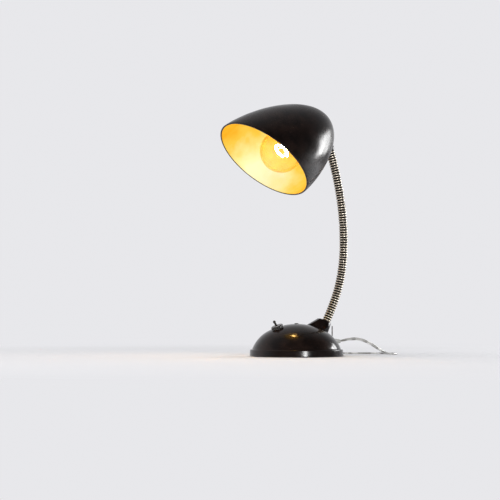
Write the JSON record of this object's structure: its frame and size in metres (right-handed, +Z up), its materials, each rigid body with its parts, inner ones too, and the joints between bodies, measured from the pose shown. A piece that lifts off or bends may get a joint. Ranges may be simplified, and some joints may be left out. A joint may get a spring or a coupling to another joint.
{
  "type": "gooseneck desk lamp",
  "caption": "Desk lamp with a domed moulded base, a toggle switch, a ribbed bendable metal neck and a raked helmet shade around a lit globe bulb.",
  "frame": {"origin": "centre of the felt pad's underside, on the table", "axes": "+Z up; -Y to the front, where the shade and the switch are; X = 0 is the plane of symmetry of the lamp without its cord"},
  "size_m": [0.2332, 0.318, 0.3771],
  "materials": {
    "phenolic": "dark brown-black moulding, polished",
    "nickel": "warm nickel plate",
    "steel": "plain",
    "dark_steel": "blackened",
    "cast": "as cast",
    "felt": "felt",
    "black": "satin",
    "brass": "plain",
    "cream": "satin",
    "lead": "insulation",
    "clear": "clear flexible sheath",
    "glass": "clear",
    "tungsten": "glowing",
    "cap": "nickel plate"
  },
  "bodies": {
    "base": {"base_shell": "phenolic", "base_plate": "steel", "felt_pad": "felt", "ballast": "cast", "tie_rod": "steel", "ballast_nut": "steel", "crown_nut": "dark_steel", "blanking_plug": "black", "cord_hook": "steel", "switch_body": "phenolic", "switch_bushing": "steel", "switch_nut": "black", "switch_terminals": "brass", "terminal_block": "cream", "terminal_screws": "brass", "base_leads": "lead", "cord_bush": "clear", "foot_stud": "steel", "foot_washer": "steel", "foot_nut": "brass", "cord_run": "clear", "cord_coil": "clear", "cord_tie": "black", "plug_body": "cream", "plug_pins": "cap", "neck_hose_1": "nickel"},
    "neck_1": {"neck_hose_2": "nickel"},
    "neck_2": {"neck_hose_3": "nickel"},
    "neck_3": {"neck_hose_4": "nickel"},
    "neck_4": {"neck_hose_5": "nickel"},
    "neck_5": {"neck_hose_6": "nickel"},
    "head": {"neck_hose_7": "nickel", "head_collar": "black", "head_stud": "steel", "head_leads": "lead", "shade": "phenolic", "holder_base": "phenolic", "holder_screws": "steel", "holder_contact": "brass", "holder_shell": "phenolic", "bulb_glass": "glass", "bulb_stem": "glass", "bulb_filament": "tungsten", "bulb_cap": "cap", "bulb_contact": "brass"},
    "switch_lever": {"switch_lever": "black"}
  },
  "joints": [
    {"name": "lower_bend", "type": "hinge", "parent": "base", "child": "neck_1", "pos_m": [0, 0.07118, 0.08591], "axis": [1, 0, 0], "range_deg": [-14, 14]},
    {"name": "side_bend", "type": "hinge", "parent": "neck_1", "child": "neck_2", "pos_m": [0, 0.08268, 0.12238], "axis": [0, 0.9781, -0.2079], "range_deg": [-14, 14]},
    {"name": "lower_bend_follower", "type": "hinge", "parent": "neck_2", "child": "neck_3", "pos_m": [0, 0.08734, 0.16035], "axis": [1, 0, 0], "range_deg": [-14, 14]},
    {"name": "upper_bend", "type": "hinge", "parent": "neck_3", "child": "neck_4", "pos_m": [0, 0.08667, 0.19862], "axis": [1, 0, 0], "range_deg": [-14, 14]},
    {"name": "side_bend_follower", "type": "hinge", "parent": "neck_4", "child": "neck_5", "pos_m": [0, 0.08201, 0.23662], "axis": [0, 0.9848, 0.1736], "range_deg": [-14, 14]},
    {"name": "upper_bend_follower", "type": "hinge", "parent": "neck_5", "child": "head", "pos_m": [0, 0.07372, 0.274], "axis": [1, 0, 0], "range_deg": [-14, 14]},
    {"name": "switch_throw", "type": "hinge", "parent": "base", "child": "switch_lever", "pos_m": [0, -0.03476, 0.04378], "axis": [1, 0, 0], "range_deg": [-24, 0]}
  ],
  "couplings": [
    {"joint": "lower_bend_follower", "follows": "lower_bend", "ratio": 1},
    {"joint": "side_bend_follower", "follows": "side_bend", "ratio": 1},
    {"joint": "upper_bend_follower", "follows": "upper_bend", "ratio": 1}
  ]
}
